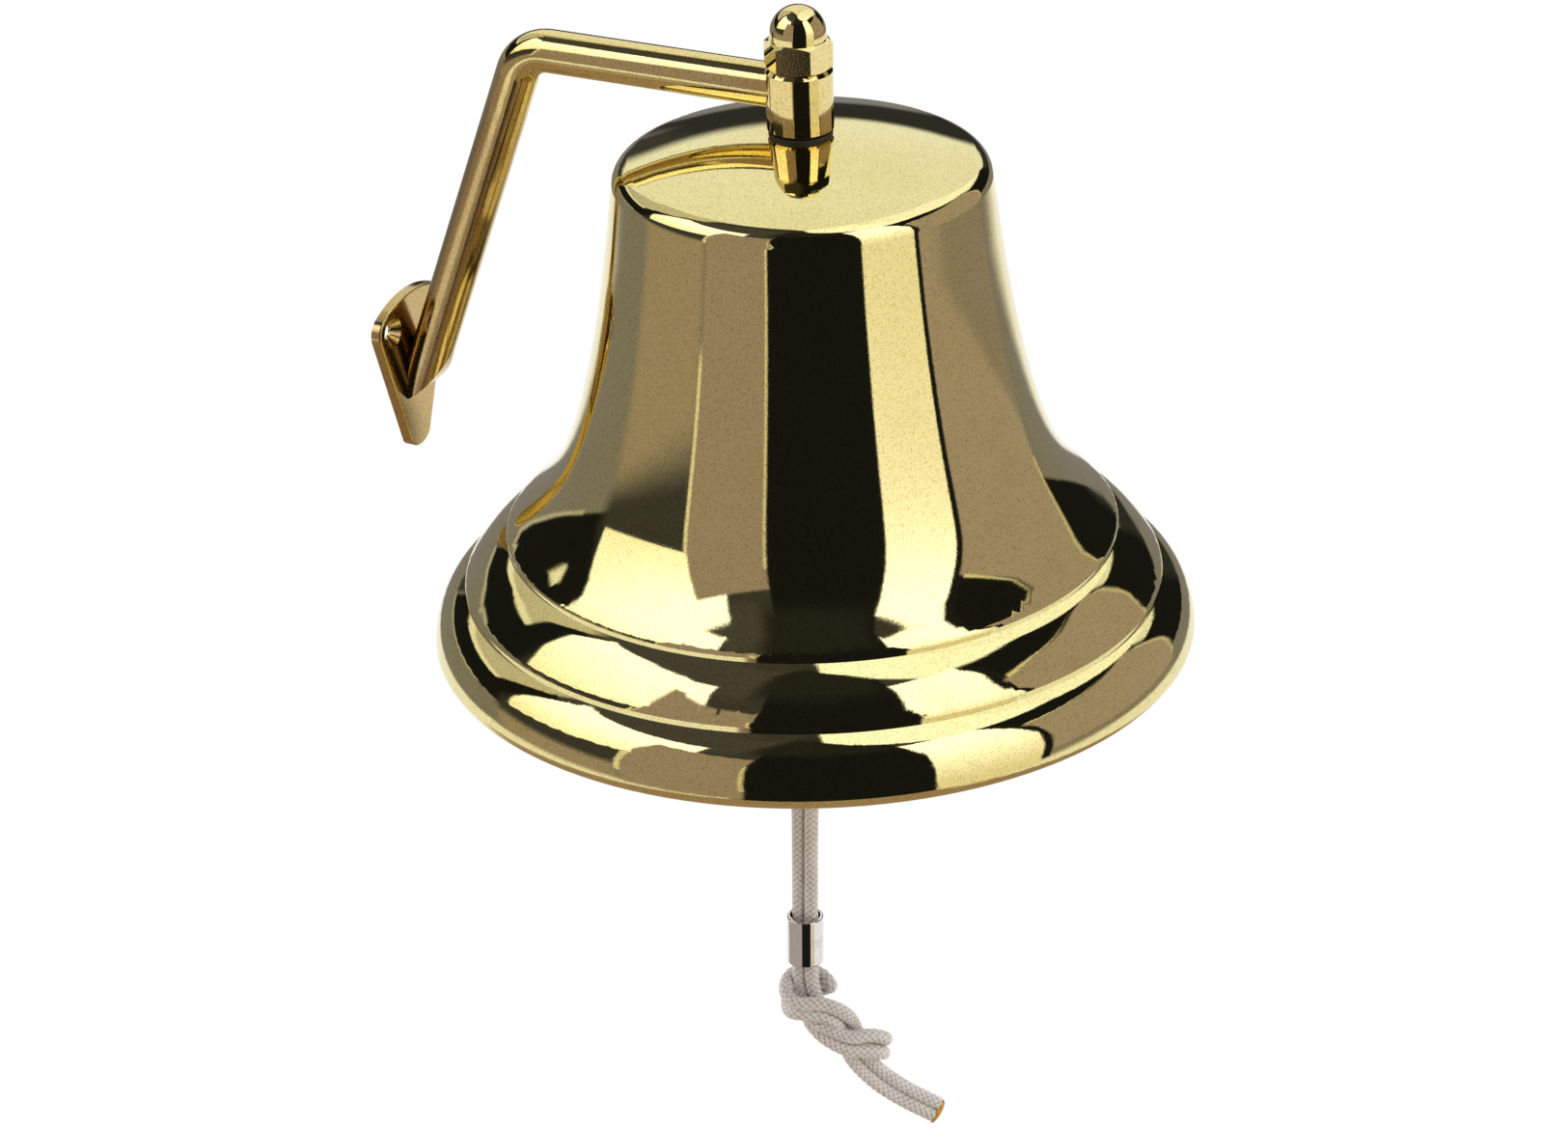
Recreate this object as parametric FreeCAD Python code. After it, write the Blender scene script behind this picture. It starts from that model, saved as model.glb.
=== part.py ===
import FreeCAD, Part
import math
import os

from FreeCAD import Vector

# A brass ship bell on a bent-rod wall bracket, with a clapper and a rope lanyard.
#
# Units are millimetres.  The origin is on the back face of the wall plate, midway between its two
# screw holes.  +Y points into the wall, +Z is up, and the bell hangs on the line x = 0, y = -REACH.
# Heights of the bell and of what hangs in it are counted up from the widest circle of the lip.

# ---------------------------------------------------------------- driving dimensions
REACH = 127.0              # wall face to bell axis
LIP_Z = -70.0              # height of the lip's widest circle

# wall plate
PLATE_THICK = 3.0
PLATE_HALF_WIDTH = 19.4
PLATE_TOP = 8.5
PLATE_SHOULDER = 2.5       # height of the widest point
PLATE_BOTTOM = -39.0
PLATE_TIP_R = 6.5
PLATE_SHOULDER_R = 5.0
PLATE_EDGE_BREAK = 0.6
SCREW_SPACING = 23.0
SCREW_HOLE_R = 2.25
SCREW_HEAD_R = 4.5

# bracket arm and boss
ARM_R = 6.0
ARM_RISE = 86.5            # height of the level part of the arm
ARM_CORNER = 82.9          # bell axis to the corner of the arm's centre line
ARM_SLANT = 20.5           # lean of the lower part from vertical, degrees
ARM_BEND_R = 11.0
NOSE_START = -8.0          # height where the rounded end of the arm begins
NOSE_END = -22.6           # height where it meets the plate
NOSE_R = 30.0
BOSS_R = 9.0
BOSS_HEIGHT = 17.5
BOSS_BORE_R = 5.1
BOSS_BREAK = 0.9

# bell shell, heights above the lip's widest circle
LIP_R = 105.0
LIP_ROUND = 3.5
BAND_2 = [(105.0, 0.0), (104.2, 4.9), (102.4, 9.0), (100.0, 12.0), (98.1, 13.6), (96.1, 14.9)]
BAND_1 = [
    (96.05, 16.4), (95.85, 17.1), (95.3, 18.1), (93.9, 19.9), (91.7, 22.7), (88.9, 25.6), (86.4, 27.8),
    (84.05, 29.3),
]
FLARE = [
    (84.0, 30.5), (83.85, 31.15), (83.35, 31.85), (82.2, 33.0), (80.4, 34.75), (78.7, 36.45), (76.9, 38.25),
    (73.7, 41.9), (70.7, 46.0), (63.6, 62.0), (58.9, 80.0), (54.5, 104.0), (50.9, 131.7),
]
SHOULDER_R = 6.0
CROWN_APEX = 144.4
CROWN_EDGE = (46.65, 136.75)
CROWN_THICK = 4.0
CROWN_HOLE_R = 5.15
INNER_WALL = [
    (98.0, 0.0), (86.5, 15.0), (72.5, 34.5), (65.0, 49.5), (59.0, 64.0), (54.0, 84.0), (50.2, 106.0), (47.2, 126.5),
]
INNER_SHOULDER = [(45.9, 130.2), (42.6, 133.4)]

# hanging bolt and its nuts
BOLT_R = 5.0
BOSS_WASHER_THICK = 0.7
BOSS_WASHER_R = 8.6
NUT_FLATS = 16.0
CAP_NUT_HEX = 8.0
CAP_NUT_TURN = 16.4        # direction of one flat, degrees from +X
CAP_NUT_DOME_R = 7.5
CAP_NUT_DOME_RISE = 9.7    # dome centre above the nut's seat
CAP_NUT_BORE = 12.5
BOLT_PROUD = 11.0          # bolt above the boss
INNER_WASHER_R = 10.5
INNER_WASHER_THICK = 1.6
INNER_NUT_HEX = 8.0
EYE_R = 6.5                # centre line of the bolt's and the clapper's eyes
EYE_WIRE_R = 2.5
EYE_PIN = 116.0            # height of the bolt eye's lowest centre line point

# clapper, drops below EYE_PIN along its own line
HANG_LEAN = 1.6            # resting lean of the clapper towards the wall, degrees
LINK_WIRE_R = 1.75
LINK_GAP = 0.35
LINK_SPAN = 9.0            # between its two pivots
ROD_R = 3.5
BALL_DROP = 131.3
BALL_R = 17.5
ROD_SOCKET = 14.0
TAIL_EYE_R = 5.6
TAIL_WIRE_R = 1.8
TAIL_STEM_R = 2.5
TAIL_SOCKET = 9.0
TAIL_NECK = 1.4

# lanyard, drops below the tail eye's pivot; sideways is away from the wall, along the tail's heading
ROPE_R = 1.9
TAIL_HEADING = 27.5        # the tail's heading from -Y towards +X, degrees
FERRULE_R = 5.2
FERRULE_WALL = 0.8
FERRULE_TOP = 50.6
FERRULE_LENGTH = 15.0
KNOT_LOBES = [             # side, drop, half width, half depth, half height
    (0.9, 78.4, 9.6, 8.0, 10.6),
    (12.6, 94.0, 11.0, 7.6, 8.6),
]
# side, depth, drop of each strand
LOOP_POINTS = [(4.3, 5.0), (4.3, -1.78), (1.78, -4.3), (-1.78, -4.3), (-4.3, -1.78), (-4.3, 4.6), (-1.95, 13.0)]
LEG_END = 70.0
TAIL_POINTS = [(14.0, 97.0), (20.5, 104.0), (28.0, 109.6), (35.8, 114.0)]
TAIL_STACK = (-0.45, 0.39, -0.80)   # from the back tail to the front one: side, depth, up
TIP_SIZE = (4.4, 4.6, 8.6)

EYE_PIN_Z = LIP_Z + EYE_PIN
BELL_AXIS = Vector(0, -REACH, 0)
X_AXIS = Vector(1, 0, 0)
Y_AXIS = Vector(0, 1, 0)
Z_AXIS = Vector(0, 0, 1)


# ---------------------------------------------------------------- helpers
def write(name, shape):
    """Check one sub-part and write it as its own STEP file."""
    if not shape.isValid():
        raise ValueError(name + " is not a valid solid")
    shape.exportStep("parts/" + name + ".step")
    print("%-20s %10.1f mm3, %d solid" % (name, shape.Volume, len(shape.Solids)))


def only(shape):
    """The single solid of a boolean result, with split faces joined."""
    solids = shape.removeSplitter().Solids
    if len(solids) != 1:
        raise ValueError("expected one solid, found %d" % len(solids))
    return solids[0]


def line(a, b):
    return Part.LineSegment(a, b).toShape()


def arc(a, b, c):
    return Part.Arc(a, b, c).toShape()


def spline(points):
    curve = Part.BSplineCurve()
    curve.interpolate(points)
    return curve.toShape()


def turned(edges):
    """The solid swept by a closed outline in the XZ half plane, round the bell's axis."""
    face = Part.Face(Part.Wire(edges))
    solid = face.revolve(Vector(0, 0, 0), Z_AXIS, 360)
    solid.translate(BELL_AXIS)
    return solid


def section(radius, height):
    """A point of a turned outline, its height counted from the lip."""
    return Vector(radius, 0, LIP_Z + height)


def hexagon(flats, height, base, first_flat):
    """An upright hexagonal prism on the bell's axis, standing on the plane z = base."""
    corner = flats / math.sqrt(3)
    points = []
    for i in range(7):
        angle = math.radians(first_flat + 30 + 60 * i)
        points.append(BELL_AXIS + Vector(corner * math.cos(angle), corner * math.sin(angle), base))
    return Part.Face(Part.makePolygon(points)).extrude(Z_AXIS * height)


def hexagon_trim(flats, height, base, top, bottom):
    """The turned body that breaks a hexagon's corners at 30 degrees, above, below or both."""
    corner = flats / math.sqrt(3) + 0.5
    drop = (corner - flats / 2 + 0.2) * math.tan(math.radians(30))
    upper = drop if top else 0
    lower = drop if bottom else 0
    points = [
        Vector(0, 0, base), Vector(flats / 2 - 0.2 if lower else corner, 0, base),
        Vector(corner, 0, base + lower), Vector(corner, 0, base + height - upper),
        Vector(flats / 2 - 0.2 if upper else corner, 0, base + height), Vector(0, 0, base + height),
    ]
    edges = []
    for a, b in zip(points, points[1:] + points[:1]):
        if (b - a).Length > 1e-6:
            edges.append(line(a, b))
    return turned(edges)


def disc(radius, base, height):
    return Part.makeCylinder(radius, height, BELL_AXIS + Z_AXIS * base, Z_AXIS)


def rope(points, radius, name):
    """A round tube along straight runs joined by tangent arcs, with its shortest arc radius printed."""
    edges = []
    radii = []
    start = points[0]
    for before, corner, after in zip(points, points[1:], points[2:]):
        to_corner = corner - before
        from_corner = after - corner
        shorter = min(to_corner.Length, from_corner.Length)
        half_turn = to_corner.getAngle(from_corner) / 2
        back = 0.45 * shorter
        radii.append(back / math.tan(half_turn))
        to_corner.normalize()
        from_corner.normalize()
        arc_start = corner - to_corner * back
        arc_end = corner + from_corner * back
        bisector = from_corner - to_corner
        bisector.normalize()
        depth = radii[-1] / math.cos(half_turn) - radii[-1]
        edges.append(line(start, arc_start))
        edges.append(arc(arc_start, corner + bisector * depth, arc_end))
        start = arc_end
    edges.append(line(start, points[-1]))
    path = Part.Wire(edges)
    heading = points[1] - points[0]
    ring = Part.Wire(Part.makeCircle(radius, points[0], heading))
    tube = path.makePipeShell([ring], True, False)
    expected = math.pi * radius ** 2 * path.Length
    text = ", ".join("%.1f" % r for r in radii)
    print("%s: length %.1f, arc radii %s, volume %.4f of section x length"
          % (name, path.Length, text, tube.Volume / expected))
    return tube.Solids[0]


# ---------------------------------------------------------------- bracket
def wall_plate():
    """A shield-shaped plate with a domed top, a rounded foot and two countersunk holes."""
    shoulder = Vector(PLATE_HALF_WIDTH, 0, PLATE_SHOULDER)
    top = Vector(0, 0, PLATE_TOP)
    foot_centre = Vector(0, 0, PLATE_BOTTOM + PLATE_TIP_R)
    to_shoulder = shoulder - foot_centre
    lean = math.atan2(to_shoulder.x, to_shoulder.z) + math.asin(PLATE_TIP_R / to_shoulder.Length)
    tangent = foot_centre + Vector(math.cos(lean), 0, -math.sin(lean)) * PLATE_TIP_R
    mirror = Vector(-tangent.x, 0, tangent.z)
    left = Vector(-shoulder.x, 0, shoulder.z)
    crest = arc(left, top, shoulder)
    foot = arc(tangent, Vector(0, 0, PLATE_BOTTOM), mirror)
    face = Part.Face(Part.Wire([crest, line(shoulder, tangent), foot, line(mirror, left)]))
    plate = face.extrude(Y_AXIS * -PLATE_THICK)
    corners = []
    for edge in plate.Edges:
        box = edge.BoundBox
        if box.XLength < 0.01 and box.ZLength < 0.01 and abs(box.ZMin - PLATE_SHOULDER) < 0.01:
            corners.append(edge)
    plate = plate.makeFillet(PLATE_SHOULDER_R, corners)
    front = []
    for edge in plate.Edges:
        if edge.BoundBox.YMax < -PLATE_THICK + 0.01:
            front.append(edge)
    plate = plate.makeFillet(PLATE_EDGE_BREAK, front)
    for side in (-0.5, 0.5):
        centre = Vector(side * SCREW_SPACING, 0, 0)
        hole = Part.makeCylinder(SCREW_HOLE_R, PLATE_THICK, centre, Y_AXIS * -1)
        depth = SCREW_HEAD_R - SCREW_HOLE_R
        seat = Part.makeCone(SCREW_HOLE_R, SCREW_HEAD_R, depth, centre - Y_AXIS * (PLATE_THICK - depth), Y_AXIS * -1)
        plate = plate.cut(hole).cut(seat)
    return only(plate)


def arm_path():
    """Centre line of the arm: level from the boss, round the corner, then down to the plate."""
    corner = Vector(0, ARM_CORNER - REACH, ARM_RISE)
    start = Vector(0, -REACH, ARM_RISE)
    slant = math.radians(ARM_SLANT)
    down = Vector(0, math.sin(slant), -math.cos(slant))
    turn = math.pi / 2 - slant
    back = ARM_BEND_R * math.tan(turn / 2)
    bend_start = corner - Y_AXIS * back
    bend_end = corner + down * back
    bisector = down - Y_AXIS
    bisector.normalize()
    middle = corner + bisector * (ARM_BEND_R / math.cos(turn / 2) - ARM_BEND_R)
    end = corner + down * (REACH - ARM_CORNER) / math.sin(slant)
    return Part.Wire([line(start, bend_start), arc(bend_start, middle, bend_end), line(bend_end, end)])


def bracket_arm():
    """The bent rod, fitted to the boss at one end and rounded down onto the plate at the other."""
    path = arm_path()
    ring = Part.Wire(Part.makeCircle(ARM_R, Vector(0, -REACH, ARM_RISE), Y_AXIS))
    rod = path.makePipeShell([ring], True, False)
    slant = math.radians(ARM_SLANT)
    underside = ARM_CORNER - REACH + (ARM_RISE - NOSE_START) * math.tan(slant) - ARM_R / math.cos(slant)
    front = -PLATE_THICK
    nose_start = Vector(0, underside, NOSE_START)
    nose_end = Vector(0, front, NOSE_END)
    chord = nose_end - nose_start
    sagitta = NOSE_R - math.sqrt(NOSE_R ** 2 - (chord.Length / 2) ** 2)
    outward = Vector(0, chord.z, -chord.y)
    outward.normalize()
    nose = arc(nose_start, (nose_start + nose_end) * 0.5 + outward * sagitta, nose_end)
    below = [nose_end, Vector(0, front + 40, NOSE_END), Vector(0, front + 40, NOSE_END - 60),
             Vector(0, underside - 30, NOSE_END - 60), Vector(0, underside - 30, NOSE_START), nose_start]
    edges = [nose]
    for a, b in zip(below, below[1:]):
        edges.append(line(a, b))
    under_nose = Part.Face(Part.Wire(edges)).extrude(X_AXIS * 4 * ARM_R)
    under_nose.translate(X_AXIS * -2 * ARM_R)
    wall_side = Part.makeBox(4 * ARM_R, 60, 200, Vector(-2 * ARM_R, front, PLATE_BOTTOM - 60))
    boss = disc(BOSS_R, ARM_RISE - 20, 40)
    return only(rod.cut(boss).cut(wall_side).cut(under_nose))


def bracket_boss():
    """The sleeve on the end of the arm, with a plain bore for the hanging bolt."""
    base = LIP_Z + CROWN_APEX + BOSS_WASHER_THICK
    sleeve = disc(BOSS_R, base, BOSS_HEIGHT)
    rims = []
    for edge in sleeve.Edges:
        if edge.BoundBox.ZLength < 0.01:
            rims.append(edge)
    sleeve = sleeve.makeChamfer(BOSS_BREAK, rims)
    return only(sleeve.cut(disc(BOSS_BORE_R, base - 1, BOSS_HEIGHT + 2)))


# ---------------------------------------------------------------- bell
def crown_arc(apex, edge, inner_radius):
    """The crown's dome as an arc from its bolt hole to its edge."""
    sag = apex - edge[1]
    radius = (edge[0] ** 2 + sag ** 2) / (2 * sag)

    def on_dome(r):
        return section(r, apex - radius + math.sqrt(radius ** 2 - r ** 2))

    return arc(on_dome(inner_radius), on_dome(edge[0] / 2), on_dome(edge[0])), on_dome(inner_radius)


def bell_shell():
    """The turned bell: domed crown, waist, flare, two rounded bands under small steps, rolled lip."""
    dome, hole_top = crown_arc(CROWN_APEX, CROWN_EDGE, CROWN_HOLE_R)
    ceiling_edge = INNER_SHOULDER[-1]
    ceiling, hole_bottom = crown_arc(CROWN_APEX - CROWN_THICK, ceiling_edge, CROWN_HOLE_R)
    waist_top = FLARE[-1]
    middle = ((CROWN_EDGE[0] + waist_top[0]) / 2, (CROWN_EDGE[1] + waist_top[1]) / 2)
    chord = math.hypot(waist_top[0] - CROWN_EDGE[0], waist_top[1] - CROWN_EDGE[1])
    rise = SHOULDER_R - math.sqrt(SHOULDER_R ** 2 - (chord / 2) ** 2)
    shoulder_middle = (middle[0] + rise * 0.765, middle[1] + rise * 0.644)
    quirk = math.sqrt(0.5) * LIP_ROUND
    lip_centre = LIP_R - LIP_ROUND
    inner_shoulder_end = INNER_WALL[-1]
    edges = [
        line(hole_bottom, hole_top),
        dome,
        arc(section(*CROWN_EDGE), section(*shoulder_middle), section(*waist_top)),
        spline([section(*p) for p in reversed(FLARE)]),
        line(section(*FLARE[0]), section(*BAND_1[-1])),
        spline([section(*p) for p in reversed(BAND_1)]),
        line(section(*BAND_1[0]), section(*BAND_2[-1])),
        spline([section(*p) for p in reversed(BAND_2)]),
        arc(section(LIP_R, 0), section(lip_centre + quirk, -quirk), section(lip_centre, -LIP_ROUND)),
        arc(section(lip_centre, -LIP_ROUND), section(lip_centre - quirk, -quirk), section(*INNER_WALL[0])),
        spline([section(*p) for p in INNER_WALL]),
        arc(section(*inner_shoulder_end), section(*INNER_SHOULDER[0]), section(*ceiling_edge)),
        ceiling,
    ]
    return only(turned(edges))


def crown_washer(shell):
    """A thin dark washer between the crown and the boss, bedded on the dome."""
    top = LIP_Z + CROWN_APEX + BOSS_WASHER_THICK
    washer = disc(BOSS_WASHER_R, top - 2, 2).cut(disc(BOSS_BORE_R, top - 3, 4))
    return only(washer.cut(shell))


def hanger_bolt():
    """A threaded bolt that carries the bell, with a closed eye at its lower end."""
    top = LIP_Z + CROWN_APEX + BOSS_WASHER_THICK + BOSS_HEIGHT + BOLT_PROUD
    eye_centre = BELL_AXIS + Z_AXIS * (EYE_PIN_Z + EYE_R)
    eye = Part.makeTorus(EYE_R, EYE_WIRE_R, eye_centre, Y_AXIS)
    base = eye_centre.z + EYE_R
    shank = disc(BOLT_R, base + 1.2, top - base - 1.2)
    rim = []
    for edge in shank.Edges:
        if edge.BoundBox.ZMin > top - 0.01:
            rim.append(edge)
    shank = shank.makeChamfer(1.0, rim)
    return only(shank.fuse(eye))


def cap_nut():
    """The acorn nut on top of the boss: a chamfered hexagon under a round dome, with a blind bore."""
    base = LIP_Z + CROWN_APEX + BOSS_WASHER_THICK + BOSS_HEIGHT
    hexagonal = hexagon(NUT_FLATS, CAP_NUT_HEX, base, CAP_NUT_TURN)
    trim = hexagon_trim(NUT_FLATS, CAP_NUT_HEX, base, True, True)
    neck = disc(CAP_NUT_DOME_R, base, CAP_NUT_DOME_RISE)
    dome = Part.makeSphere(CAP_NUT_DOME_R, BELL_AXIS + Z_AXIS * (base + CAP_NUT_DOME_RISE), Z_AXIS, 0, 90, 360)
    bore = disc(BOLT_R, base - 1, CAP_NUT_BORE + 1)
    return only(hexagonal.common(trim).fuse(neck).fuse(dome).cut(bore))


def inner_washer(shell):
    """The washer under the crown."""
    seat = LIP_Z + CROWN_APEX - CROWN_THICK - 0.8
    washer = disc(INNER_WASHER_R, seat - INNER_WASHER_THICK, INNER_WASHER_THICK + 1.2)
    washer = washer.cut(disc(BOLT_R + 0.25, seat - 10, 20))
    return only(washer.cut(shell))


def inner_nut():
    """The nut that draws the bolt's shoulder of washers up against the crown."""
    top = LIP_Z + CROWN_APEX - CROWN_THICK - 0.8 - INNER_WASHER_THICK
    base = top - INNER_NUT_HEX
    hexagonal = hexagon(NUT_FLATS, INNER_NUT_HEX, base, 0)
    trim = hexagon_trim(NUT_FLATS, INNER_NUT_HEX, base, True, True)
    return only(hexagonal.common(trim).cut(disc(BOLT_R, base - 1, INNER_NUT_HEX + 2)))


# ---------------------------------------------------------------- clapper
def hung(shape):
    """Lean a shape that was drawn hanging straight down, about the bolt eye's pivot."""
    pivot = Vector(0, -REACH, EYE_PIN_Z)
    leaned = shape.copy()
    leaned.rotate(pivot, X_AXIS, HANG_LEAN)
    return leaned


def below_pin(drop):
    """A point on the clapper's line, before it leans."""
    return Vector(0, -REACH, EYE_PIN_Z - drop)


def clapper_link():
    """A closed oval link between the bolt's eye and the clapper's eye."""
    half = EYE_WIRE_R + LINK_GAP + LINK_WIRE_R
    upper = below_pin(0)
    lower = below_pin(LINK_SPAN)
    side = Y_AXIS * half
    path = Part.Wire([
        arc(upper - side, upper + Z_AXIS * half, upper + side),
        line(upper + side, lower + side),
        arc(lower + side, lower - Z_AXIS * half, lower - side),
        line(lower - side, upper - side),
    ])
    ring = Part.Wire(Part.makeCircle(LINK_WIRE_R, upper - side, Z_AXIS))
    return path.makePipeShell([ring], True, False).Solids[0]


def clapper_rod():
    """The clapper's rod with the eye that hangs in the link."""
    eye_centre = below_pin(LINK_SPAN + EYE_R)
    eye = Part.makeTorus(EYE_R, EYE_WIRE_R, eye_centre, Y_AXIS)
    top = below_pin(LINK_SPAN + 2 * EYE_R)
    bottom = below_pin(BALL_DROP - BALL_R + ROD_SOCKET)
    rod = Part.makeCylinder(ROD_R, (top - bottom).Length, bottom, Z_AXIS)
    return only(rod.fuse(eye))


def clapper_ball():
    """The striking ball, bored for the rod above and for the tail eye below."""
    centre = below_pin(BALL_DROP)
    ball = Part.makeSphere(BALL_R, centre)
    rod_bore = Part.makeCylinder(ROD_R, BALL_R, below_pin(BALL_DROP - BALL_R + ROD_SOCKET), Z_AXIS)
    stem_bore = Part.makeCylinder(TAIL_STEM_R, 2 * TAIL_SOCKET, below_pin(BALL_DROP + BALL_R - TAIL_SOCKET), Z_AXIS * -1)
    return only(ball.cut(rod_bore).cut(stem_bore))


def tail_pin_drop():
    """Drop of the tail eye's lowest centre line point, where the lanyard turns."""
    return BALL_DROP + BALL_R + TAIL_NECK + 2 * TAIL_EYE_R


def clapper_tail_eye():
    """The eye screwed into the foot of the ball for the lanyard."""
    eye = Part.makeTorus(TAIL_EYE_R, TAIL_WIRE_R, below_pin(tail_pin_drop() - TAIL_EYE_R), Y_AXIS)
    top = below_pin(BALL_DROP + BALL_R - TAIL_SOCKET)
    length = TAIL_SOCKET + TAIL_NECK
    stem = Part.makeCylinder(TAIL_STEM_R, length, top, Z_AXIS * -1)
    return only(stem.fuse(eye))


# ---------------------------------------------------------------- lanyard
def rope_point(across, along, drop):
    """A lanyard point: across the two legs, along the tail's heading, and down from the tail eye's pivot."""
    heading = math.radians(TAIL_HEADING)
    sideways = Vector(math.sin(heading), -math.cos(heading), 0)
    return below_pin(tail_pin_drop() + drop) - Y_AXIS * across + sideways * along


def lanyard_loop():
    """The strand that goes up one leg's head, over the tail eye and down the other leg."""
    points = []
    for across, drop in LOOP_POINTS:
        points.append(rope_point(-across, 0, drop))
    points.append(rope_point(ROPE_R + 0.05, 0, 30.0))
    points.append(rope_point(ROPE_R + 0.02, 0, LEG_END))
    return rope(points, ROPE_R, "lanyard_leg_front")


def lanyard_second_leg():
    """The other strand, from where the loop ends down to the knot."""
    first = LOOP_POINTS[0]
    points = [
        rope_point(-first[0], 0, first[1]),
        rope_point(-first[0] + 0.3, 0, 7.5),
        rope_point(-ROPE_R - 0.05, 0, 13.5),
        rope_point(-ROPE_R - 0.05, 0, 30.0),
        rope_point(-ROPE_R - 0.02, 0, LEG_END),
    ]
    return rope(points, ROPE_R, "lanyard_leg_back")


def lanyard_ferrule():
    """The polished tube that draws the two legs together."""
    base = below_pin(tail_pin_drop() + FERRULE_TOP + FERRULE_LENGTH)
    outer = Part.makeCylinder(FERRULE_R, FERRULE_LENGTH, base, Z_AXIS)
    rims = []
    for edge in outer.Edges:
        if edge.BoundBox.ZLength < 0.01:
            rims.append(edge)
    outer = outer.makeFillet(0.5, rims)
    bore = Part.makeCylinder(FERRULE_R - FERRULE_WALL, FERRULE_LENGTH + 2, base - Z_AXIS, Z_AXIS)
    return only(outer.cut(bore))


def lanyard_knot(strands):
    """The outer form of the knot, two rounded lobes that the strands run into."""
    lobes = []
    for side, drop, half_width, half_depth, half_height in KNOT_LOBES:
        stretch = FreeCAD.Matrix()
        stretch.scale(half_width, half_depth, half_height)
        lobe = Part.makeSphere(1.0).transformGeometry(stretch)
        lobe.rotate(Vector(0, 0, 0), Z_AXIS, TAIL_HEADING - 90)
        lobe.translate(rope_point(0, side, drop))
        lobes.append(lobe)
    knot = lobes[0].fuse(lobes[1])
    for strand in strands:
        knot = knot.cut(strand)
    return only(knot)


def lanyard_tails():
    """The two ends that leave the knot side by side."""
    tails = {}
    for name, across in (("lanyard_tail_front", ROPE_R + 0.12), ("lanyard_tail_back", -ROPE_R - 0.12)):
        points = [rope_point(0, side, drop) + tail_across() * across for side, drop in TAIL_POINTS]
        tails[name] = rope(points, ROPE_R, name)
    return tails


def tail_across():
    """Unit vector from one tail to the other, square to their heading and mostly downward."""
    heading = math.radians(TAIL_HEADING)
    side = Vector(math.sin(heading), -math.cos(heading), 0)
    depth = Vector(-math.cos(heading), -math.sin(heading), 0)
    across = side * TAIL_STACK[0] + depth * TAIL_STACK[1] + Z_AXIS * TAIL_STACK[2]
    across.normalize()
    return across


def lanyard_tip():
    """The melted end that binds the two tails."""
    (side_a, drop_a), (side_b, drop_b) = TAIL_POINTS[-2:]
    end = rope_point(0, side_b, drop_b)
    ahead = end - rope_point(0, side_a, drop_a)
    ahead.normalize()
    length, height, width = TIP_SIZE
    across = tail_across()
    up = across.cross(ahead)
    corner = end - across * (width / 2) - up * (height / 2)
    points = [corner, corner + across * width, corner + across * width + up * height, corner + up * height, corner]
    block = Part.Face(Part.makePolygon(points)).extrude(ahead * length)
    return only(block.makeFillet(1.5, block.Edges))


# ---------------------------------------------------------------- build
def main():
    os.makedirs("parts", exist_ok=True)
    shell = bell_shell()
    write("wall_plate", wall_plate())
    write("bracket_arm", bracket_arm())
    write("bracket_boss", bracket_boss())
    write("bell_shell", shell)
    write("crown_washer", crown_washer(shell))
    write("hanger_bolt", hanger_bolt())
    write("cap_nut", cap_nut())
    write("inner_washer", inner_washer(shell))
    write("inner_nut", inner_nut())
    write("clapper_link", hung(clapper_link()))
    write("clapper_rod", hung(clapper_rod()))
    write("clapper_ball", hung(clapper_ball()))
    write("clapper_tail_eye", hung(clapper_tail_eye()))
    front = lanyard_loop()
    back = lanyard_second_leg()
    knot = lanyard_knot([front, back])
    write("lanyard_leg_front", hung(front))
    write("lanyard_leg_back", hung(back))
    write("lanyard_ferrule", hung(lanyard_ferrule()))
    write("lanyard_knot", hung(knot))
    for name, tail in lanyard_tails().items():
        write(name, hung(only(tail.cut(knot))))
    write("lanyard_tip", hung(lanyard_tip()))


main()
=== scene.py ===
import math

import bpy
import numpy as np
from mathutils import Matrix, Vector


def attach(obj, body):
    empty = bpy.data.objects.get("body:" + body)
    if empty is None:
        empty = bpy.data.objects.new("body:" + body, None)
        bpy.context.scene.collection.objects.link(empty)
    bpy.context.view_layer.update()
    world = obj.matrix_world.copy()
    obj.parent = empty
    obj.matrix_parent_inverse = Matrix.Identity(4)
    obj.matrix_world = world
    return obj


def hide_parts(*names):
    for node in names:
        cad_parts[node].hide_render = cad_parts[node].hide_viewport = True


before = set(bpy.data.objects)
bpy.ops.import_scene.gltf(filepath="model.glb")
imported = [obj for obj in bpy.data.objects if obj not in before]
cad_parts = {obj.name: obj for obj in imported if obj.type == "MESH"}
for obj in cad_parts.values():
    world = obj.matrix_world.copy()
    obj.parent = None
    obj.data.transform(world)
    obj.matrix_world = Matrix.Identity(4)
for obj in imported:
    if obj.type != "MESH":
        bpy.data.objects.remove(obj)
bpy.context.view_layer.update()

REACH = 0.127                          # wall face to bell axis
LIP_Z = -0.070                         # widest circle of the lip
PIVOT = Vector((0.0, -REACH, 0.046))   # bolt eye
LEAN = math.radians(1.6)               # how far the clapper and lanyard hang out of plumb
EYE_DROP = 0.1614                      # bolt eye to the clapper's tail eye
ROPE_D = 0.0038                        # one strand of the lanyard

# ---------------------------------------------------------------- camera
CAMERA_BEARING = math.radians(27.5)
CAMERA_ELEVATION = math.radians(26.10)
CAMERA_ROLL = math.radians(-1.834)
CAMERA_DISTANCE = 1.3842
CAMERA_LENS_MM = 115.22
AIM_ABOVE_LIP = 0.017106
AIM_TO_RIGHT = -0.0081

# level directions from the bell to the camera, and to the right of the picture
TOWARD = Vector((-math.cos(CAMERA_BEARING), -math.sin(CAMERA_BEARING), 0.0))
RIGHT = Vector((-TOWARD.y, TOWARD.x, 0.0))


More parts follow.
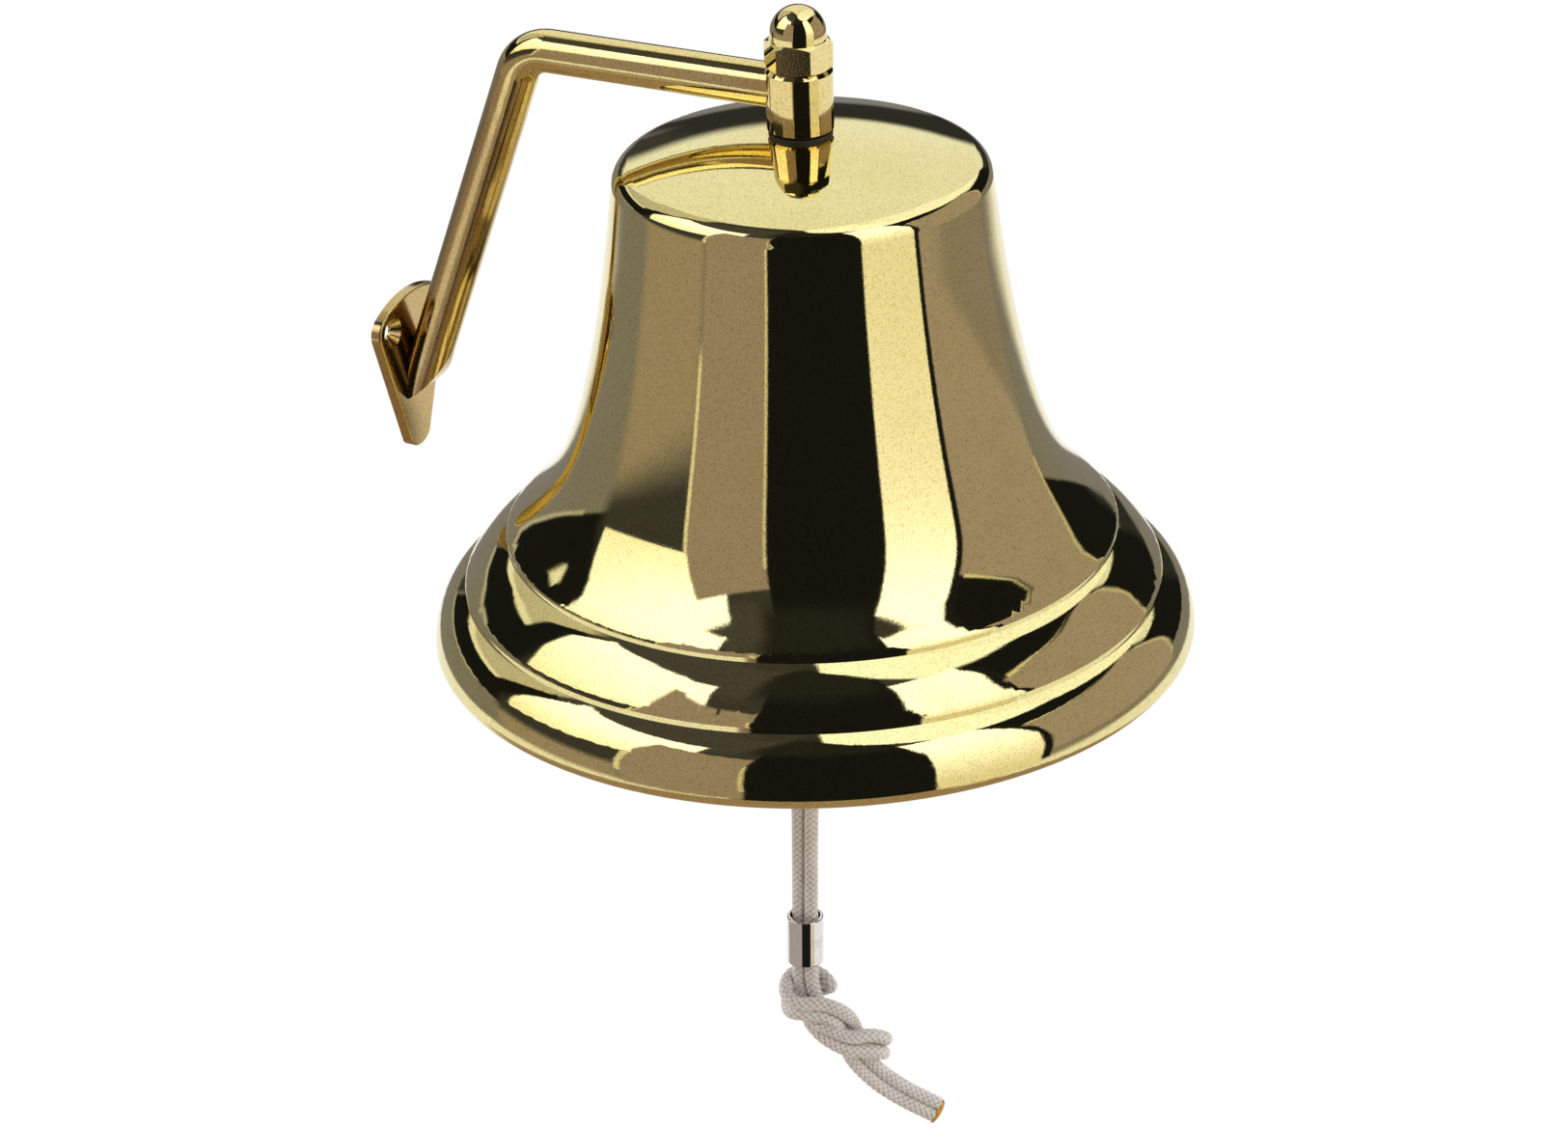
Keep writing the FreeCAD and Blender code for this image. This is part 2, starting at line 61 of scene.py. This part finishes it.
def place_camera():
    cos, sin = math.cos(CAMERA_ELEVATION), math.sin(CAMERA_ELEVATION)
    back = TOWARD * cos + Vector((0, 0, sin))
    up = Vector((0, 0, cos)) - TOWARD * sin
    aim = Vector((0, -REACH, LIP_Z + AIM_ABOVE_LIP)) + RIGHT * AIM_TO_RIGHT
    across = RIGHT * math.cos(CAMERA_ROLL) + up * math.sin(CAMERA_ROLL)
    upright = up * math.cos(CAMERA_ROLL) - RIGHT * math.sin(CAMERA_ROLL)
    camera = bpy.data.objects.new("Camera", bpy.data.cameras.new("Camera"))
    camera.data.lens = CAMERA_LENS_MM
    camera.data.sensor_width = 36
    camera.data.clip_start = 0.05
    camera.data.clip_end = 50
    turn = Matrix((across, upright, back)).transposed().to_4x4()
    camera.matrix_world = Matrix.Translation(aim + back * CAMERA_DISTANCE) @ turn
    bpy.context.scene.collection.objects.link(camera)
    bpy.context.scene.camera = camera


# ---------------------------------------------------------------- node helpers
class Nodes:
    """Short calls for building a node tree."""

    def __init__(self, tree):
        self.tree = tree

    def add(self, kind, **settings):
        node = self.tree.nodes.new(kind)
        for key, value in settings.items():
            setattr(node, key, value)
        return node

    def link(self, a, b):
        self.tree.links.new(a, b)

    def feed(self, socket, value):
        if isinstance(value, bpy.types.NodeSocket):
            self.link(value, socket)
        else:
            socket.default_value = value

    def where(self):
        """The point's place in its object."""
        return self.add("ShaderNodeTexCoord").outputs["Object"]

    def math(self, operation, *values):
        node = self.add("ShaderNodeMath", operation=operation)
        for socket, value in zip(node.inputs, values):
            self.feed(socket, value)
        return node.outputs[0]

    def dot(self, vector, axis):
        """How far the vector reaches along axis."""
        node = self.add("ShaderNodeVectorMath", operation="DOT_PRODUCT")
        self.feed(node.inputs[0], vector)
        node.inputs[1].default_value = axis
        return node.outputs["Value"]

    def step(self, value, low, high):
        """0 below low, 1 above high, smooth between."""
        node = self.add("ShaderNodeMapRange", interpolation_type="SMOOTHSTEP")
        self.feed(node.inputs["Value"], value)
        self.feed(node.inputs["From Min"], low)
        self.feed(node.inputs["From Max"], high)
        return node.outputs["Result"]

    def noise(self, vector, scale, detail, roughness):
        node = self.add("ShaderNodeTexNoise")
        self.feed(node.inputs["Vector"], vector)
        node.inputs["Scale"].default_value = scale
        node.inputs["Detail"].default_value = detail
        node.inputs["Roughness"].default_value = roughness
        return node.outputs["Fac"]

    def stretch(self, vector, factors):
        """The vector scaled along each axis, for a noise with a grain."""
        node = self.add("ShaderNodeVectorMath", operation="MULTIPLY")
        self.feed(node.inputs[0], vector)
        node.inputs[1].default_value = factors
        return node.outputs["Vector"]

    def bump(self, height, distance, strength=1.0, under=None):
        node = self.add("ShaderNodeBump")
        self.feed(node.inputs["Height"], height)
        node.inputs["Distance"].default_value = distance
        node.inputs["Strength"].default_value = strength
        if under is not None:
            self.link(under, node.inputs["Normal"])
        return node.outputs["Normal"]

    def mix(self, factor, a, b):
        node = self.add("ShaderNodeMix", data_type="RGBA")
        self.feed(node.inputs[0], factor)
        for socket, value in ((node.inputs[6], a), (node.inputs[7], b)):
            if not isinstance(value, bpy.types.NodeSocket) and len(value) == 3:
                value = (*value, 1.0)
            self.feed(socket, value)
        return node.outputs[2]


# ---------------------------------------------------------------- studio
HORIZON = 4.5                 # top of the floor, in degrees
EXTRA_FILL = 1.15             # added to the room's strength of 1 for matt surfaces
DARK = (0.010, 0.011, 0.012)
GREY = (0.050, 0.050, 0.052)
OLIVE = (0.070, 0.068, 0.075)
BACK = (0.97, 0.99, 0.94)
WALL = (0.56, 0.54, 0.50)
FLOOR = (0.235, 0.225, 0.235)
CARD = (0.350, 0.287, 0.280)
CARD_2 = (0.400, 0.335, 0.325)
SOFT_BOX = (1.25, 1.24, 1.05)
GLARE = (1.9, 1.9, 2.1)
ALL = (-200, 200)             # past the seam at 180, so that no edge shows there

# The room that the brass reflects.  Azimuth 0 is toward the camera and grows to the right; all
# angles are degrees.  Each window is azimuths, elevations, softness, slope of the lower and of the
# upper edge, the azimuth they turn about, and the lean of the sides.  A pair of lights runs from
# the window's lower edge to its upper one.
PANELS = [
    # the floor, in the colours of what stands on it, white where it is near, and brown straight below
    ((*ALL, -95, HORIZON, 1.2), FLOOR),
    ((-104, -60, -95, -1, 4.5), (0.37, 0.305, 0.265)),
    ((-60, -20, -95, HORIZON, 1.5), (0.27, 0.215, 0.20)),
    ((-22, 33, -95, HORIZON, 1.5), (0.030, 0.026, 0.024)),
    ((33, 67, -95, HORIZON, 1.0), (0.78, 0.68, 0.50)),
    ((67, 128, -95, -3, 2), (0.29, 0.25, 0.245)),
    ((-200, -26, -95, -18, 1.5), (0.98, 0.98, 0.96)),
    ((60, 200, -95, -18, 1.5), (0.98, 0.98, 0.96)),
    ((-125, -23, -95, -27, 0.8), (0.44, 0.39, 0.355)),
    ((*ALL, -95, -40, 5), (0.36, 0.26, 0.18)),
    # the wall and ceiling behind
    ((148, 200, 13, 95, 3, -0.1, 0, 148), BACK),
    ((-200, -150, 15, 95, 3), BACK),
    ((130, 150, 17, 95, 2), BACK),
    # left: a second lit wall, a dark gap, the soft box and the dark ceiling above it
    ((-152, -118.5, 3, 60, 1), (WALL, (0.66, 0.63, 0.52))),
    ((-152, -118.5, 17, 20.5, 1, 0.2, 0.2, -150), (0.95, 0.95, 0.86)),
    ((-152, -100, HORIZON, 17, 0.8, 0, 0.2, -150), DARK),
    ((-119, -104, HORIZON, 46, 0.8), DARK),
    ((-125, -30, 50, 78, 4), OLIVE),
    ((-106, -59, -1, 26, 4.5), GREY),
    ((-100.4, -32, 10, 54, 0.6, 0.267, 0.05, -103, 0.257), (SOFT_BOX, GLARE)),
    ((-59, -22, -18, 46.5, 0.8, 0, -0.1, -59), CARD),
    ((-60.6, -58.8, -8, 22, 0.3), (0.85, 0.80, 0.62)),
    ((-23.4, -21.6, -12, 30, 0.4), (0.75, 0.68, 0.52)),
    # the camera's own dark side of the room
    ((-22, 33, -34, 76, 0.5), DARK),
    ((-28, 30, 54, 84, 6), (0.020, 0.020, 0.020)),
    # right: a tall lit panel, a card, and black cloth round it
    ((33, 67, -32, 58, 0.5), ((0.84, 0.79, 0.58), GLARE)),
    ((66.5, 69.8, -18, 58, 0.3), DARK),
    ((69.5, 122, 36, 56, 1.6, 0, -0.1, 69), DARK),
    ((69.8, 127, -12, 37.5, 0.6, 0, -0.04, 69), CARD_2),
    ((72, 126, 37.0, 38.6, 0.35, 0, -0.04, 69), (0.80, 0.76, 0.56)),
    ((125.8, 127.6, -8, 30, 0.3), (0.60, 0.55, 0.42)),
    ((127.4, 152, -4, 27, 0.8, 0, -0.3, 127), DARK),
    ((150, 200, -3, 12, 2), (0.03, 0.032, 0.032)),
    ((-200, -172, -3, 12, 2), (0.03, 0.032, 0.032)),
    # the soft box overhead
    ((49, 101, 58, 95, 0.8, -0.17, 0, 50), (1.35, 1.38, 1.40)),
    ((100, 150, 49.5, 95, 0.8, -0.58, 0, 100), (1.20, 1.24, 1.22)),
    ((4, 50, 58, 95, 0.8, -0.45, 0, 50), (1.35, 1.38, 1.40)),
]


def studio():
    """White to the camera, and to the brass a room of soft boxes and dark cloths."""
    world = bpy.data.worlds.new("Studio")
    bpy.context.scene.world = world
    world.use_nodes = True
    world.node_tree.nodes.clear()
    n = Nodes(world.node_tree)
    direction = n.add("ShaderNodeTexCoord").outputs["Generated"]
    toward = n.dot(direction, TOWARD)
    right = n.dot(direction, RIGHT)
    height = n.dot(direction, (0, 0, 1))
    azimuth = n.math("MULTIPLY", n.math("ARCTAN2", right, toward), 180 / math.pi)
    elevation = n.math("MULTIPLY", n.math("ARCSINE", height), 180 / math.pi)

    def panel(az0, az1, el0, el1, soft, tilt0=0.0, tilt1=0.0, pivot=0.0, lean=0.0):
        """How far a direction lies inside a window, and how far up it."""
        offset = n.math("SUBTRACT", azimuth, pivot)
        low = n.math("MULTIPLY_ADD", offset, tilt0, el0)
        high = n.math("MULTIPLY_ADD", offset, tilt1, el1)
        side = n.math("MULTIPLY_ADD", elevation, lean, azimuth)
        a = n.step(side, az0 - soft, az0 + soft)
        b = n.step(side, az1 + soft, az1 - soft)
        c = n.step(n.math("SUBTRACT", elevation, low), -soft, soft)
        d = n.step(n.math("SUBTRACT", elevation, high), soft, -soft)
        inside = n.math("MULTIPLY", n.math("MULTIPLY", a, b), n.math("MULTIPLY", c, d))
        return inside, n.step(elevation, el0, el1)

    colour = GREY
    for window, light in PANELS:
        inside, rise = panel(*window)
        if isinstance(light[0], tuple):
            light = n.mix(rise, *light)
        colour = n.mix(inside, colour, light)
    background = n.add("ShaderNodeBackground")
    n.feed(background.inputs["Color"], colour)
    # soft fill for matt things, which the brass doesn't show
    matt = n.add("ShaderNodeLightPath").outputs["Is Diffuse Ray"]
    n.feed(background.inputs["Strength"], n.math("MULTIPLY_ADD", matt, EXTRA_FILL, 1.0))
    plain = n.add("ShaderNodeBackground")
    plain.inputs["Color"].default_value = (1, 1, 1, 1)
    seen = n.add("ShaderNodeMixShader")
    n.link(n.add("ShaderNodeLightPath").outputs["Is Camera Ray"], seen.inputs[0])
    n.link(background.outputs[0], seen.inputs[1])
    n.link(plain.outputs[0], seen.inputs[2])
    n.link(seen.outputs[0], n.add("ShaderNodeOutputWorld").inputs["Surface"])


# ---------------------------------------------------------------- materials
def blank(name):
    """A new material, its node helper and its shader."""
    material = bpy.data.materials.new(name)
    material.use_nodes = True
    n = Nodes(material.node_tree)
    return material, n, n.tree.nodes["Principled BSDF"]


RAGGED = 0.05                 # how far the edge of the painted reflection on the bracket wanders, in metres
PIT_DEPTH = 0.0000030


def brass(name, colour, tarnish, roughness, lay, lay_depth, speck=0.16, painted_reflection_heights=None):
    """Polished brass: cloudy tarnish, fine pits, and polishing lines along lay.

    stained is two heights between which the metal grows rougher and brown; the brown is a painted
    reflection of the bell.
    """
    material, n, shader = blank(name)
    where = n.where()
    cloud = n.noise(where, 28, 4, 0.6)
    pits = n.noise(where, 1700, 2, 0.75)
    lines = n.noise(n.stretch(where, lay), 1.0, 3, 0.65)
    base = n.mix(n.step(cloud, 0.42, 0.78), colour, tarnish)
    rough = n.math("MULTIPLY_ADD", cloud, roughness * 0.7, roughness * 0.6)
    rough = n.math("MULTIPLY_ADD", n.step(lines, 0.5, 0.9), roughness * 0.8, rough)
    # painted reflection: the bracket turns brown below a height, standing in for the bell reflected in
    # it
    if painted_reflection_heights:
        height = n.dot(where, (0, 0, 1))
        edge_wander = n.noise(n.stretch(where, (260, 260, 60)), 1.0, 3, 0.7)
        ragged_height = n.math("MULTIPLY_ADD", edge_wander, RAGGED, height)
        painted_reflection = n.step(ragged_height, painted_reflection_heights[0] + RAGGED / 2, painted_reflection_heights[1] + RAGGED / 2)
        base = n.mix(n.math("MULTIPLY", painted_reflection, 0.85), base, (0.56, 0.39, 0.165))
        rough = n.math("MULTIPLY_ADD", painted_reflection, 0.10, rough)
    dark = n.mix(speck * 2.4, base, (0.06, 0.045, 0.02))
    base = n.mix(n.step(pits, 0.47, 0.72), base, dark)
    pale = n.mix(speck, base, (1, 0.97, 0.80))
    base = n.mix(n.step(lines, 0.52, 0.80), base, pale)
    n.feed(shader.inputs["Base Color"], base)
    shader.inputs["Metallic"].default_value = 1.0
    n.feed(shader.inputs["Roughness"], rough)
    fine = n.bump(pits, PIT_DEPTH)
    n.link(n.bump(lines, lay_depth, 1.0, fine), shader.inputs["Normal"])
    return material


def chrome():
    """The plated ferrule: cloudy, with fine lines round it."""
    material, n, shader = blank("ferrule_chrome")
    where = n.where()
    cloud = n.noise(where, 160, 4, 0.6)
    lines = n.noise(n.stretch(where, (300, 300, 5200)), 1.0, 3, 0.6)
    plate = n.mix(n.step(cloud, 0.4, 0.8), (0.80, 0.76, 0.74), (0.64, 0.59, 0.56))
    n.feed(shader.inputs["Base Color"], plate)
    shader.inputs["Metallic"].default_value = 1.0
    n.feed(shader.inputs["Roughness"], n.math("MULTIPLY_ADD", cloud, 0.06, 0.03))
    n.link(n.bump(lines, 0.0000008), shader.inputs["Normal"])
    return material


def fibre():
    """The thin dark washer between the crown and the boss."""
    material, n, shader = blank("fibre_washer")
    where = n.where()
    grain = n.noise(n.stretch(where, (900, 900, 2600)), 1.0, 4, 0.7)
    n.feed(shader.inputs["Base Color"], n.mix(grain, (0.012, 0.011, 0.010), (0.045, 0.038, 0.030)))
    n.feed(shader.inputs["Roughness"], n.math("MULTIPLY_ADD", grain, 0.3, 0.45))
    n.link(n.bump(grain, 0.00008), shader.inputs["Normal"])
    return material


FILAMENTS = 4                 # ridges across one yarn


def rope_yarn():
    """Off-white braid: painted shade in the gaps between yarns, fine filaments along them."""
    material, n, shader = blank("rope_yarn")
    braid = n.add("ShaderNodeAttribute", attribute_name="braid").outputs["Fac"]
    thread = n.add("ShaderNodeAttribute", attribute_name="thread").outputs["Fac"]
    where = n.where()
    stain = n.noise(where, 90, 4, 0.6)
    fuzz = n.noise(where, 5200, 2, 0.7)
    yarn = n.mix(n.step(stain, 0.38, 0.72), (0.87, 0.84, 0.805), (0.78, 0.745, 0.70))
    yarn = n.mix(n.math("MULTIPLY", n.step(fuzz, 0.45, 0.75), 0.35), yarn, (0.95, 0.93, 0.90))
    # painted shade: a darker colour where the braid is low, in the gaps between yarns
    painted_gap_shade = n.mix(n.step(stain, 0.4, 0.7), (0.54, 0.50, 0.455), (0.45, 0.405, 0.36))
    n.feed(shader.inputs["Base Color"], n.mix(n.step(braid, 0.22, 0.74), painted_gap_shade, yarn))
    shader.inputs["Roughness"].default_value = 0.78
    shader.inputs["Specular IOR Level"].default_value = 0.3
    shader.inputs["Sheen Weight"].default_value = 0.15
    shader.inputs["Sheen Roughness"].default_value = 0.5
    filaments = n.math("SINE", n.math("MULTIPLY", thread, 2 * math.pi * FILAMENTS))
    rough = n.bump(fuzz, 0.00005)
    n.link(n.bump(filaments, 0.00003, 0.7, rough), shader.inputs["Normal"])
    return material


def melted_end():
    """Rope melted to a glossy amber bead."""
    material, n, shader = blank("rope_end_melt")
    where = n.where()
    swirl = n.noise(where, 700, 4, 0.6)
    amber = n.mix(n.step(swirl, 0.35, 0.7), (0.80, 0.47, 0.07), (0.42, 0.17, 0.02))
    n.feed(shader.inputs["Base Color"], n.mix(n.step(swirl, 0.62, 0.74), amber, (0.78, 0.70, 0.55)))
    n.feed(shader.inputs["Roughness"], n.math("MULTIPLY_ADD", swirl, 0.3, 0.15))
    n.link(n.bump(swirl, 0.0005), shader.inputs["Normal"])
    return material


# ---------------------------------------------------------------- lanyard
def lean(offset):
    """A place given from the bolt's eye, with the lanyard's lean."""
    return PIVOT + Matrix.Rotation(LEAN, 3, "X") @ offset


def hang(across, drop):
    """A point drop below the tail eye; across points away from the wall."""
    return lean(Vector((0, -across, -EYE_DROP - drop)))


def beside(side, depth, drop):
    """The same, for a side to the right of the picture and a depth toward the camera."""
    return lean(RIGHT * side + TOWARD * depth + Vector((0, 0, -EYE_DROP - drop)))


# across and drop of each leg, over the tail eye and down into the ferrule
FRONT_LEG = [
    (-0.0043, 0.0050), (-0.0043, -0.00178), (-0.00178, -0.0043), (0.00178, -0.0043), (0.0043, -0.00178),
    (0.0043, 0.0046), (0.00195, 0.0130), (0.00195, 0.0300), (0.00192, 0.0500), (0.00192, 0.0660),
]
BACK_LEG = [
    (-0.0043, 0.0050), (-0.0040, 0.0075), (-0.00195, 0.0135), (-0.00195, 0.0300), (-0.00192, 0.0500),
    (-0.00192, 0.0660),
]
# side, depth and drop of each strand through the knot and out along its tail
FRONT_KNOT = [
    (0.0019, 0.0008, 0.0740), (0.0045, 0.0002, 0.0815), (0.0105, -0.0022, 0.0890),
    (0.0160, -0.0036, 0.0938), (0.0228, -0.0034, 0.0950), (0.0236, 0.0024, 0.0912),
    (0.0190, 0.0050, 0.0880), (0.0135, 0.0062, 0.0886), (0.0080, 0.0058, 0.0864),
    (0.0022, 0.0055, 0.0832), (-0.0020, 0.0018, 0.0810), (-0.0005, -0.0042, 0.0775),
    (0.0035, -0.0058, 0.0750), (0.0062, -0.0020, 0.0752), (0.0030, -0.0040, 0.0748),
    (-0.0020, -0.0048, 0.0778), (-0.0052, -0.0030, 0.0802), (-0.0050, 0.0030, 0.0812),
    (-0.0018, 0.0064, 0.0800), (0.0035, 0.0070, 0.0798), (0.0085, 0.0052, 0.0836),
    (0.0108, 0.0012, 0.0890), (0.0118, -0.0002, 0.0945), (0.0129, 0.0005, 0.0990),
    (0.0191, 0.0007, 0.1064), (0.0268, 0.0007, 0.1126), (0.0350, 0.0008, 0.1174),
    (0.0373, 0.0008, 0.1187),
]
BACK_KNOT = [
    (-0.0016, -0.0010, 0.0740), (0.0012, -0.0008, 0.0838), (0.0075, -0.0020, 0.0925),
    (0.0145, -0.0036, 0.0982), (0.0222, -0.0034, 0.0994), (0.0230, 0.0024, 0.0962),
    (0.0190, 0.0052, 0.0934), (0.0135, 0.0062, 0.0932), (0.0085, 0.0056, 0.0912),
    (0.0035, 0.0046, 0.0876), (0.0004, 0.0012, 0.0844), (0.0024, -0.0042, 0.0800),
    (0.0062, -0.0054, 0.0782), (0.0080, -0.0006, 0.0752), (0.0040, -0.0046, 0.0724),
    (-0.0020, -0.0050, 0.0722), (-0.0052, -0.0028, 0.0735), (-0.0060, 0.0026, 0.0755),
    (-0.0026, 0.0068, 0.0768), (0.0045, 0.0070, 0.0760), (0.0110, 0.0054, 0.0800),
    (0.0142, 0.0014, 0.0862), (0.0150, -0.0012, 0.0925), (0.0156, -0.0006, 0.0962),
    (0.0214, -0.0006, 0.1037), (0.0289, -0.0007, 0.1098), (0.0368, -0.0007, 0.1145),
    (0.0391, -0.0007, 0.1158),
]


def route(name, points):
    """The smooth line of a strand, as the points of its NURBS spline."""
    curve = bpy.data.curves.new(name, "CURVE")
    curve.dimensions = "3D"
    spline = curve.splines.new("NURBS")
    spline.points.add(len(points) - 1)
    for control, point in zip(spline.points, points):
        control.co = (*point, 1.0)
    spline.order_u = 3
    spline.use_endpoint_u = True
    spline.resolution_u = 24
    holder = bpy.data.objects.new(name, curve)
    line = bpy.data.meshes.new_from_object(holder)
    found = [vertex.co.copy() for vertex in line.vertices]
    bpy.data.objects.remove(holder)
    bpy.data.meshes.remove(line)
    bpy.data.curves.remove(curve)
    return found


def evenly(line, step):
    """The line with its points about step apart, and how far along each one is."""
    line = np.array([tuple(p) for p in line])
    runs = np.linalg.norm(np.diff(line, axis=0), axis=1)
    line = line[np.r_[True, runs > 1e-9]]
    along = np.r_[0, np.cumsum(np.linalg.norm(np.diff(line, axis=0), axis=1))]
    count = int(round(along[-1] / step)) + 1
    at = np.linspace(0, along[-1], count)
    return np.column_stack([np.interp(at, along, line[:, i]) for i in range(3)]), at


def carried(tangent):
    """Unit vectors square to the tangents, which turn as little as they can along the line."""
    side = np.zeros_like(tangent)
    start = np.cross(tangent[0], (0.3, 0.9, 0.1))
    side[0] = start / np.linalg.norm(start)
    for i in range(1, len(tangent)):
        turned = side[i - 1] - tangent[i] * np.dot(side[i - 1], tangent[i])
        side[i] = turned / np.linalg.norm(turned)
    return side


def smooth_piece(name, vertices, faces):
    """A smooth-shaded mesh object in the scene."""
    mesh = bpy.data.meshes.new(name)
    mesh.from_pydata(vertices, [], faces)
    mesh.polygons.foreach_set("use_smooth", [True] * len(mesh.polygons))
    piece = bpy.data.objects.new(name, mesh)
    bpy.context.scene.collection.objects.link(piece)
    return piece


def braided(name, line, yarns=6, pitch=0.0019, relief=0.00034, around=40, step=0.00027):
    """A round braid: each yarn passes over and under the ones that cross it."""
    centre, along = evenly(line, step)
    tangent = np.gradient(centre, axis=0)
    tangent /= np.linalg.norm(tangent, axis=1)[:, None]
    side = carried(tangent)
    other = np.cross(tangent, side)
    angle = np.arange(around) * 2 * np.pi / around

    # two sets of yarns that wind opposite ways; over says which set is on top
    turns = angle[None, :] / (2 * np.pi) * yarns
    rows = along[:, None] / pitch
    one, two = turns + rows, turns - rows
    over = (np.floor(one) + np.floor(two)) % 2 < 0.5
    fore, aft = one % 1, two % 1
    across = np.where(over, fore, aft)
    length = np.where(over, aft, fore)
    height = np.sin(np.pi * across) ** 0.55 * (0.55 + 0.45 * np.sin(np.pi * length))
    radius = ROPE_D / 2 - relief * 0.55 + relief * height
    # slightly out of round, now this way and now that
    radius *= 1 + 0.012 * np.sin(along[:, None] / 0.0071) * np.cos(angle[None, :] * 2)

    ring = np.cos(angle)[None, :, None] * side[:, None, :]
    ring = ring + np.sin(angle)[None, :, None] * other[:, None, :]
    points = centre[:, None, :] + ring * radius[:, :, None]
    vertices = points.reshape(-1, 3).tolist() + [centre[0].tolist(), centre[-1].tolist()]

    starts = np.arange(len(centre) - 1)[:, None] * around
    spokes = np.arange(around)[None, :]
    first = starts + spokes
    after = starts + (spokes + 1) % around
    faces = np.stack([first, after, after + around, first + around], axis=-1).reshape(-1, 4).tolist()
    hub = len(centre) * around
    last = hub - around
    for i in range(around):
        j = (i + 1) % around
        faces.append((hub, j, i))
        faces.append((hub + 1, last + i, last + j))

    piece = smooth_piece(name, vertices, faces)
    hub_value = 0.3
    for title, values in (("braid", height), ("thread", across)):
        layer = piece.data.attributes.new(title, "FLOAT", "POINT")
        layer.data.foreach_set("value", np.r_[values.ravel(), hub_value, hub_value].astype(np.float32))
    return piece


TIP_HALF_WIDTH = 0.0037
TIP_HALF_THICKNESS = 0.00195
TIP_HALF_LENGTH = 0.0011
TIP_PROUD = 0.0006


def melted_tip(name, ends, rings=18, around=40):
    """The bead where both strands' ends are melted together."""
    middle = (ends[0] + ends[1]) / 2
    across = (ends[0] - ends[1]).normalized()
    ahead = (RIGHT * 0.0078 + Vector((0, 0, -0.0044))).normalized()
    ahead = (ahead - across * ahead.dot(across)).normalized()
    thick = across.cross(ahead)
    vertices, faces = [], []
    for i in range(rings + 1):
        polar = math.pi * i / rings
        for j in range(around):
            turn = 2 * math.pi * j / around
            x = math.cos(turn) * math.sin(polar)
            y = math.sin(turn) * math.sin(polar)
            lump = 1 + 0.06 * math.sin(5 * turn + 2) * math.sin(polar) + 0.05 * math.cos(3 * turn)
            point = middle + across * (x * TIP_HALF_WIDTH * lump)
            point = point + thick * (y * TIP_HALF_THICKNESS * lump)
            bulge = TIP_HALF_LENGTH * math.cos(polar) * (1 + 0.12 * x)
            vertices.append(point + ahead * (bulge + TIP_PROUD))
    for i in range(rings):
        for j in range(around):
            k = (j + 1) % around
            above, below = i * around, (i + 1) * around
            faces.append((above + j, below + j, below + k, above + k))
    return smooth_piece(name, vertices, faces)


# name, leg, knot, the CAD nodes that the strand stands for, and its length
STRANDS = [
    (
        "lanyard_strand_front", FRONT_LEG, FRONT_KNOT,
        ("lanyard_leg_front", "lanyard_tail_front"), 0.2566,
    ),
    (
        "lanyard_strand_back", BACK_LEG, BACK_KNOT,
        ("lanyard_leg_back", "lanyard_tail_back", "lanyard_knot"), 0.2441,
    ),
]


def lanyard():
    """Both strands of the lanyard, from the tail eye through the ferrule and knot to their tails."""
    yarn = rope_yarn()
    strands = []
    for name, leg, knot, nodes, length in STRANDS:
        line = route(name, [hang(*p) for p in leg] + [beside(*p) for p in knot])
        piece = braided(name, line)
        piece.data.materials.append(yarn)
        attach(piece, "lanyard")
        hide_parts(*nodes)
        strands.append((piece, line, length))
    tip = melted_tip("lanyard_melted_end", [line[-1] for _, line, _ in strands])
    tip.data.materials.append(melted_end())
    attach(tip, "lanyard")
    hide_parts("lanyard_tip")


# ---------------------------------------------------------------- build
place_camera()
studio()
bpy.context.scene.view_settings.view_transform = "Standard"

# the lay is how fine the polishing lines are along x, y and z, per metre
turned = brass(
    "bell_brass", (0.86, 0.75, 0.36), (0.82, 0.69, 0.30), roughness=0.030,
    lay=(110, 110, 3600), lay_depth=0.0000017,
)
# the bracket's brown below a height is a painted reflection of the bell
rods = brass(
    "bracket_brass", (0.86, 0.71, 0.31), (0.76, 0.57, 0.22), roughness=0.045,
    lay=(2600, 300, 300), lay_depth=0.000006, speck=0.2, painted_reflection_heights=(0.083, 0.055),
)
hardware = brass(
    "hardware_brass", (0.86, 0.73, 0.33), (0.80, 0.66, 0.28), roughness=0.030,
    lay=(500, 500, 3200), lay_depth=0.000004,
)
inside = brass(
    "clapper_brass", (0.80, 0.66, 0.32), (0.66, 0.50, 0.22), roughness=0.10,
    lay=(400, 400, 2400), lay_depth=0.000008,
)
looks = {
    "wall_plate": rods, "bracket_arm": rods, "bracket_boss": rods,
    "bell_shell": turned, "crown_washer": fibre(),
    "hanger_bolt": hardware, "cap_nut": hardware, "inner_washer": hardware, "inner_nut": hardware,
    "clapper_link": inside, "clapper_rod": inside, "clapper_ball": inside,
    "clapper_tail_eye": inside, "lanyard_ferrule": chrome(),
}
for name, material in looks.items():
    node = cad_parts[name]
    node.data.materials.clear()
    node.data.materials.append(material)
lanyard()
